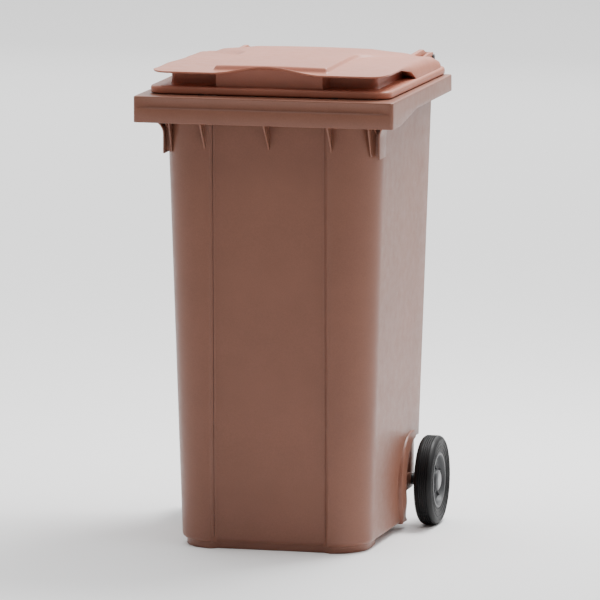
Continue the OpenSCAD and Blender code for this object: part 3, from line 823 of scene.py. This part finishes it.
def build_lid_shell():
    mid_x, mid_y = lid_axes()
    steps = 18

    def plate(half, y0, y1, r):
        return Plate(half, y0, y1, r, mid_x, mid_y, steps)

    top = plate(VISOR_HALF, VISOR_FRONT, LID_BACK - NECK, VISOR_R)

    def flange(inset):
        points = plate(LID_HALF - inset, LID_FRONT + inset, LID_BACK - inset,
                       LID_R - inset).border()
        span = LID_BACK - LID_FRONT
        return [(x * (1 + LID_TAPER / LID_HALF * clamp((y - LID_FRONT) / span)), y)
                for x, y in points]
    nx, ny = len(top.xs), len(top.ys)
    verts, faces = [], []

    def border_distance(x, y):
        dx = border_half(y) - abs(x)
        dy = min(y - VISOR_FRONT, LID_BACK - NECK - y)
        if dx < VISOR_R and dy < VISOR_R:
            return VISOR_R - math.hypot(VISOR_R - dx, VISOR_R - dy)
        return min(dx, dy)

    # outer top face
    def top_point(i, j):
        x, y = top.point(i, j)
        x *= border_half(y) / VISOR_HALF
        return x, y, deck_top(x, y, max(border_distance(x, y), 0))

    for j in range(ny):
        for i in range(nx):
            verts.append(top_point(i, j))
    for j in range(ny - 1):
        for i in range(nx - 1):
            a = j * nx + i
            faces.append((a, a + 1, a + nx + 1, a + nx))
    index = top.border_index()
    border = [j * nx + i for i, j in index]
    rim = [verts[k] for k in border]

    # hand-grip recess wall, and how far it is open at each border point
    wall_x = LID_HALF - 38
    deep_y, middle_y = LID_FRONT + 52, LID_FRONT + 14
    wall_plate = plate(wall_x, deep_y, LID_BACK - NECK, 14).border()
    wall = []
    for k, (x, y, z) in enumerate(rim):
        wx, wy = wall_plate[k]
        if index[k][1] == 0:
            deep = smooth(WAVE_HALF - 6, WAVE_HALF + 1, abs(wx))
            wy = mix(middle_y, wy, deep)
        open_side = 1 - smooth(GRIP_END - 14, GRIP_END, y)
        wall.append((mix(x, wx, open_side), mix(y, wy, open_side), open_side))

    rings = [border]

    def add_ring(points):
        start = len(verts)
        verts.extend(points)
        current = list(range(start, start + len(points)))
        previous = rings[-1]
        n = len(points)
        for a in range(n):
            b = (a + 1) % n
            faces.append((previous[a], previous[b], current[b], current[a]))
        rings.append(current)

    def inward(k, amount):
        """The border point moved towards the recess wall."""
        x, y = rim[k][:2]
        wx, wy = wall[k][:2]
        gap = math.hypot(wx - x, wy - y)
        if gap < 1e-6:
            return x, y
        t = min(amount, gap) / gap
        return mix(x, wx, t), mix(y, wy, t)

    def lip(amount, dip):
        """Ring of the visor's edge, drawn in by amount and down by dip."""
        points = []
        for k, point in enumerate(rim):
            px, py = inward(k, amount)
            drop = min(dip, point[2] - FLANGE_TOP - 0.5)
            points.append((px, py, point[2] - drop))
        add_ring(points)

    lip(0, 1.2)
    lip(0, 2.8)
    lip(1.6, LIP_WALL)
    under = []
    for k, (x, y, z) in enumerate(rim):
        wx, wy, opened = wall[k]
        under.append((mix(x, wx, 0.9), mix(y, wy, 0.9), max(z - LIP_WALL - 1, FLANGE_TOP + 0.6)))
    add_ring(under)
    add_ring([(wx, wy, max(rim[k][2] - LIP_WALL - 6, FLANGE_TOP + 0.5))
              for k, (wx, wy, opened) in enumerate(wall)])
    add_ring([(wx, wy, FLANGE_TOP + 0.4 + 4 * opened) for wx, wy, opened in wall])
    ledge_out = flange(6)
    add_ring([(mix(wx, ledge_out[k][0], 0.06), mix(wy, ledge_out[k][1], 0.06), FLANGE_TOP)
              for k, (wx, wy, opened) in enumerate(wall)])
    for inset, z in ((5.5, FLANGE_TOP), (3.2, FLANGE_TOP - 0.6), (1.2, FLANGE_TOP - 2.4),
                     (0.1, FLANGE_TOP - 5.5), (0, LID_Z + 2.2), (0.6, LID_Z + 0.7),
                     (2, LID_Z), (4, LID_Z), (4.6, LID_Z + 1.5), (4.6, FLANGE_TOP - 5)):
        add_ring([(x, y, z) for x, y in flange(inset)])
    add_ring([(mix(wx, x, 0.3), mix(wy, y, 0.3), FLANGE_TOP - LIP_WALL)
              for (wx, wy, opened), (x, y) in zip(wall, flange(8))])
    # inner face of the recess wall, then the ceiling
    inner = []
    for k, (wx, wy, opened) in enumerate(wall):
        cx = wx - LIP_WALL * (1 if wx > 0 else -1) if abs(wx) > wall_x - 20 else wx
        cy = wy + LIP_WALL if index[k][1] == 0 else min(wy, LID_BACK - NECK - LIP_WALL)
        inner.append((cx, cy))
    add_ring([(x, y, FLANGE_TOP - LIP_WALL + 1) for x, y in inner])
    # the ceiling grid is the top grid drawn in to the inner outline; it keeps below the lowest
    # point of the top face nearby, so that the steps of the raised middle don't cut through it
    near = ((0, 0), (7, 0), (-7, 0), (0, 7), (0, -7))
    place = {}
    for k, (i, j) in enumerate(index):
        place[(i, j)] = inner[k]
    start = len(verts)
    grid = {}
    for j in range(ny):
        for i in range(nx):
            if (i, j) in place:
                x, y = place[(i, j)]
            else:
                left, right = place[(0, j)], place[(nx - 1, j)]
                low, high = place[(i, 0)], place[(i, ny - 1)]
                tx = (top.xs[i] - top.xs[0]) / (top.xs[-1] - top.xs[0])
                x = mix(left[0], right[0], tx)
                ty = (top.ys[j] - top.ys[0]) / (top.ys[-1] - top.ys[0])
                y = mix(low[1], high[1], ty)
            inset = max(border_distance(x, y), 0)
            z = min(deck_top(x + dx, y + dy, inset) for dx, dy in near) - LIP_WALL - 0.5
            if (i, j) in place:
                z = min(z, max(FLANGE_TOP + 2, z - 3))
            grid[(i, j)] = len(verts)
            verts.append((x, y, max(z, FLANGE_TOP - LIP_WALL + 2)))
    for j in range(ny - 1):
        for i in range(nx - 1):
            faces.append((grid[(i, j)], grid[(i, j + 1)], grid[(i + 1, j + 1)], grid[(i + 1, j)]))
    last = rings[-1]
    n = len(index)
    for a in range(n):
        b = (a + 1) % n
        faces.append((last[a], last[b], grid[index[b]], grid[index[a]]))
    return new_object("lid_shell", verts, faces, smooth_angle=42)


ARM_IN, ARM_OUT = 187, 219


def build_arm(side):
    """Hinge arm: a low channel round the pin, with a thin fin along its top."""
    knuckle = 13
    back = arc(HINGE_Y, HINGE_Z, knuckle, 68, -95, 20)
    profile = [(LID_BACK - 90, FLANGE_TOP), (LID_BACK - 60, HINGE_Z + 4),
               (HINGE_Y - 40, HINGE_Z + knuckle)]
    profile += back
    profile += [(LID_BACK - 30, LID_Z + 2), (LID_BACK - 60, FLANGE_TOP)]
    lo, hi = sorted((side * ARM_IN, side * ARM_OUT))
    arm = plate_x("hinge_arm", profile, lo, hi)
    lo, hi = sorted((side * (ARM_IN + 11), side * (ARM_OUT - 11)))
    fin = plate_x("arm_fin", [(LID_BACK - 110, FLANGE_TOP + 4), (LID_BACK - 96, HINGE_Z + 19),
                              (HINGE_Y - 48, HINGE_Z + 22.5), (HINGE_Y - 41, HINGE_Z + 22.5),
                              (HINGE_Y - 33, HINGE_Z + 20), (HINGE_Y - 4, HINGE_Z + 11),
                              (HINGE_Y - 34, HINGE_Z + 2), (LID_BACK - 40, FLANGE_TOP + 2)],
                  lo, hi)
    round_edges(fin, 1.2, 2, 32)
    web_z = HINGE_Z + 17
    channel = [(LID_BACK + 4, LID_Z - 20), (HINGE_Y + 60, LID_Z - 20), (HINGE_Y + 60, HINGE_Z + 60),
               (HINGE_Y - 12, HINGE_Z + 60), (HINGE_Y - 12, web_z), (LID_BACK + 4, web_z)]
    lo, hi = sorted((side * (ARM_IN + 6), side * (ARM_OUT - 6)))
    cut(arm, plate_x("channel", channel, lo, hi))
    bore = lathe("arm_bore", [(0.01, ARM_IN - 4), (5.1, ARM_IN - 4), (5.1, ARM_OUT + 4),
                              (0.01, ARM_OUT + 4)], HINGE_Y, HINGE_Z, side, 32)
    cut(arm, bore)
    round_edges(arm, 1.6, 2, 32)
    return join("arm", [arm, fin])


def build_lid():
    parts = [build_lid_shell()] + [build_arm(side) for side in SIDES]
    lid = join("lid_moulding", parts)
    return finish_piece(lid, mat_lid_lightened, LID, "lid_plastic", "lid")


# ------------------------------------------------------------------ wheels
TYRE_R = (tyre_hi[2] - tyre_lo[2]) / 2
TYRE_IN, TYRE_OUT = tyre_lo[0], tyre_hi[0]
HUB_R = 62


def build_tyre(side):
    shoulder = 7
    width = TYRE_OUT - TYRE_IN
    profile = [(HUB_R, TYRE_IN + 5), (HUB_R + 5, TYRE_IN + 3), (TYRE_R - shoulder - 8, TYRE_IN + 1),
               (TYRE_R - shoulder, TYRE_IN + 0.3), (TYRE_R - 3, TYRE_IN + 3),
               (TYRE_R - 0.4, TYRE_IN + shoulder)]
    grooves = 5
    pitch = (width - 2 * shoulder) / (grooves + 1)
    for i in range(1, grooves + 1):
        x = TYRE_IN + shoulder + pitch * i
        profile += [(TYRE_R, x - 1.4), (TYRE_R - 2.2, x - 0.9), (TYRE_R - 2.2, x + 0.9),
                    (TYRE_R, x + 1.4)]
    profile += [(TYRE_R - 0.4, TYRE_OUT - shoulder), (TYRE_R - 3, TYRE_OUT - 3),
                (TYRE_R - shoulder, TYRE_OUT - 0.3)]
    r = TYRE_R - shoulder - 3
    x = TYRE_OUT - 0.4
    for i in range(3):
        profile += [(r, x), (r - 1.2, x - 1.6), (r - 6.5, x - 1.9), (r - 7.5, x - 0.9)]
        r -= 8.5
        x -= 0.9
    profile += [(HUB_R + 1, TYRE_OUT - 4), (HUB_R, TYRE_OUT - 5)]
    tyre = lathe(f"tyre_{name_of(side)}_mesh", profile, AXLE_Y, AXLE_Z, side, 128)
    return finish_piece(tyre, mat_tyre, f"wheel_{name_of(side)}", "tyre_rubber",
                        f"tyre_{name_of(side)}")


def name_of(side):
    return "right" if side > 0 else "left"


def build_hub(side):
    hub_in, hub_out = TYRE_IN + 3, TYRE_OUT - 5
    mid = (hub_in + hub_out) / 2
    bush_r = 13.5
    seat_x = hub_out - 9.3
    seat_r = bush_r + 4
    profile = rounded([(HUB_R, TYRE_IN + 5), (HUB_R, TYRE_OUT - 3.6), (HUB_R - 5, TYRE_OUT - 3.6),
                       (HUB_R - 7, TYRE_OUT - 9), (HUB_R - 9, mid + 5), (24, mid - 1),
                       (23, hub_out - 1), (21, hub_out), (seat_r, hub_out), (seat_r, seat_x),
                       (bush_r, seat_x), (bush_r, hub_in), (22, hub_in), (22, mid - 6),
                       (HUB_R - 6, mid - 1), (HUB_R - 5, TYRE_IN + 5)], 1.2, 2)
    parts = [lathe("hub_disc", profile, AXLE_Y, AXLE_Z, side, 96)]
    spokes = 6
    for i in range(spokes):
        a = 2 * math.pi * i / spokes + 0.26
        along = Vector((0, math.cos(a), math.sin(a)))
        across = Vector((0, -math.sin(a), math.cos(a)))
        rings = []
        for r, outer in ((21, hub_out - 4), (34, mid + 8), (HUB_R - 6, mid + 10)):
            centre = Vector((0, AXLE_Y, AXLE_Z)) + along * r
            section = rounded([(mid - 3, -2.6), (outer, -2.0), (outer, 2.0), (mid - 3, 2.6)], 1, 2)
            rings.append([(side * x, (centre + across * w).y, (centre + across * w).z)
                          for x, w in section])
        parts.append(new_object("spoke", *loft(rings)))
    hub = join(f"hub_{name_of(side)}_mesh", parts)
    return finish_piece(hub, mat_hub, f"wheel_{name_of(side)}", "hub_plastic",
                        f"hub_{name_of(side)}")


def build_cap(side):
    hub_out = TYRE_OUT - 5
    inner = axle_hi[0] + 0.3
    profile = rounded([(0.01, inner), (12, inner), (12, hub_out - 6.7), (17.4, hub_out - 6.7),
                       (17.4, hub_out), (18.5, hub_out), (18.5, hub_out + 1.2), (15, hub_out + 2.4),
                       (0.01, hub_out + 2.5)], 0.7, 2)
    cap = lathe(f"hub_cap_{name_of(side)}_mesh", profile, AXLE_Y, AXLE_Z, side, 64)
    return finish_piece(cap, mat_cap, f"wheel_{name_of(side)}", "cap_plastic",
                        f"hub_cap_{name_of(side)}")


# ------------------------------------------------------------------ CAD nodes that stay
def paint(node, material):
    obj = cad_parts[node]
    obj.data.materials.clear()
    obj.data.materials.append(material)


build_tub()
build_rim_piece()
finish_piece(build_handle(), mat_tub, TUB, "tub_plastic", "handle")
build_lid()
for wheel_side in SIDES:
    build_tyre(wheel_side)
    build_hub(wheel_side)
    build_cap(wheel_side)
    suffix = name_of(wheel_side)
    for part in ("hinge_pin", "pin_cap", "spacer", "lid_buffer"):
        paint(f"{part}_{suffix}", mat_black)
    paint(f"retainer_{suffix}", mat_steel)
    paint(f"bush_{suffix}", mat_bush)
paint("axle", mat_steel)


# ------------------------------------------------------------------ floor, light and camera
def build_floor():
    mesh = bpy.data.meshes.new("floor")
    s = 30.0
    mesh.from_pydata([(-s, -s, 0), (s, -s, 0), (s, s, 0), (-s, s, 0)], [], [(0, 1, 2, 3)])
    floor = bpy.data.objects.new("floor", mesh)
    bpy.context.scene.collection.objects.link(floor)
    mat, _, _, shader = principled("floor_mat")
    shader.inputs["Base Color"].default_value = (0.92, 0.92, 0.92, 1)
    shader.inputs["Roughness"].default_value = 0.9
    mesh.materials.append(mat)


def area_light(name, place, aim, size, power, colour=(1, 1, 1)):
    light = bpy.data.lights.new(name, "AREA")
    light.shape = "RECTANGLE"
    light.size, light.size_y = size
    light.energy = power
    light.color = colour
    obj = bpy.data.objects.new(name, light)
    bpy.context.scene.collection.objects.link(obj)
    obj.location = place
    obj.rotation_euler = (Vector(aim) - Vector(place)).to_track_quat("-Z", "Y").to_euler()


def build_world(strength):
    world = bpy.data.worlds.new("studio")
    world.use_nodes = True
    back = world.node_tree.nodes["Background"]
    back.inputs["Color"].default_value = (1, 1, 1, 1)
    back.inputs["Strength"].default_value = strength
    bpy.context.scene.world = world


CAM_AZIMUTH = math.radians(14.0)
CAM_ELEVATION = math.radians(8.34)
CAM_DISTANCE = 15.06
CAM_ACROSS = -0.0815
CAM_UP = -0.5594
CAM_LENS = 414.0


def build_camera():
    ca, sa = math.cos(CAM_AZIMUTH), math.sin(CAM_AZIMUTH)
    ce, se = math.cos(CAM_ELEVATION), math.sin(CAM_ELEVATION)
    forward = Vector((-sa * ce, ca * ce, -se))
    right = Vector((ca, sa, 0))
    up = right.cross(forward)
    place = -(right * CAM_ACROSS + up * CAM_UP + forward * CAM_DISTANCE)
    place.y += FRONT * MM
    data = bpy.data.cameras.new("camera")
    data.lens = CAM_LENS
    data.sensor_width = 36
    data.clip_end = 200
    camera = bpy.data.objects.new("camera", data)
    camera.matrix_world = Matrix((
        (right.x, up.x, -forward.x, place.x),
        (right.y, up.y, -forward.y, place.y),
        (right.z, up.z, -forward.z, place.z),
        (0, 0, 0, 1)))
    bpy.context.scene.collection.objects.link(camera)
    bpy.context.scene.camera = camera


build_floor()
build_world(0.17)
area_light("overhead", (0, 6, 7), (0, 6, 0), (26, 20), 3300)
area_light("key_top", (0.7, 1.0, 3.0), (0, 0, 1.0), (1.2, 0.9), 120)
area_light("backdrop", (0, 9, 3.6), (0, 0, 2.4), (18, 4.5), 250)
build_camera()
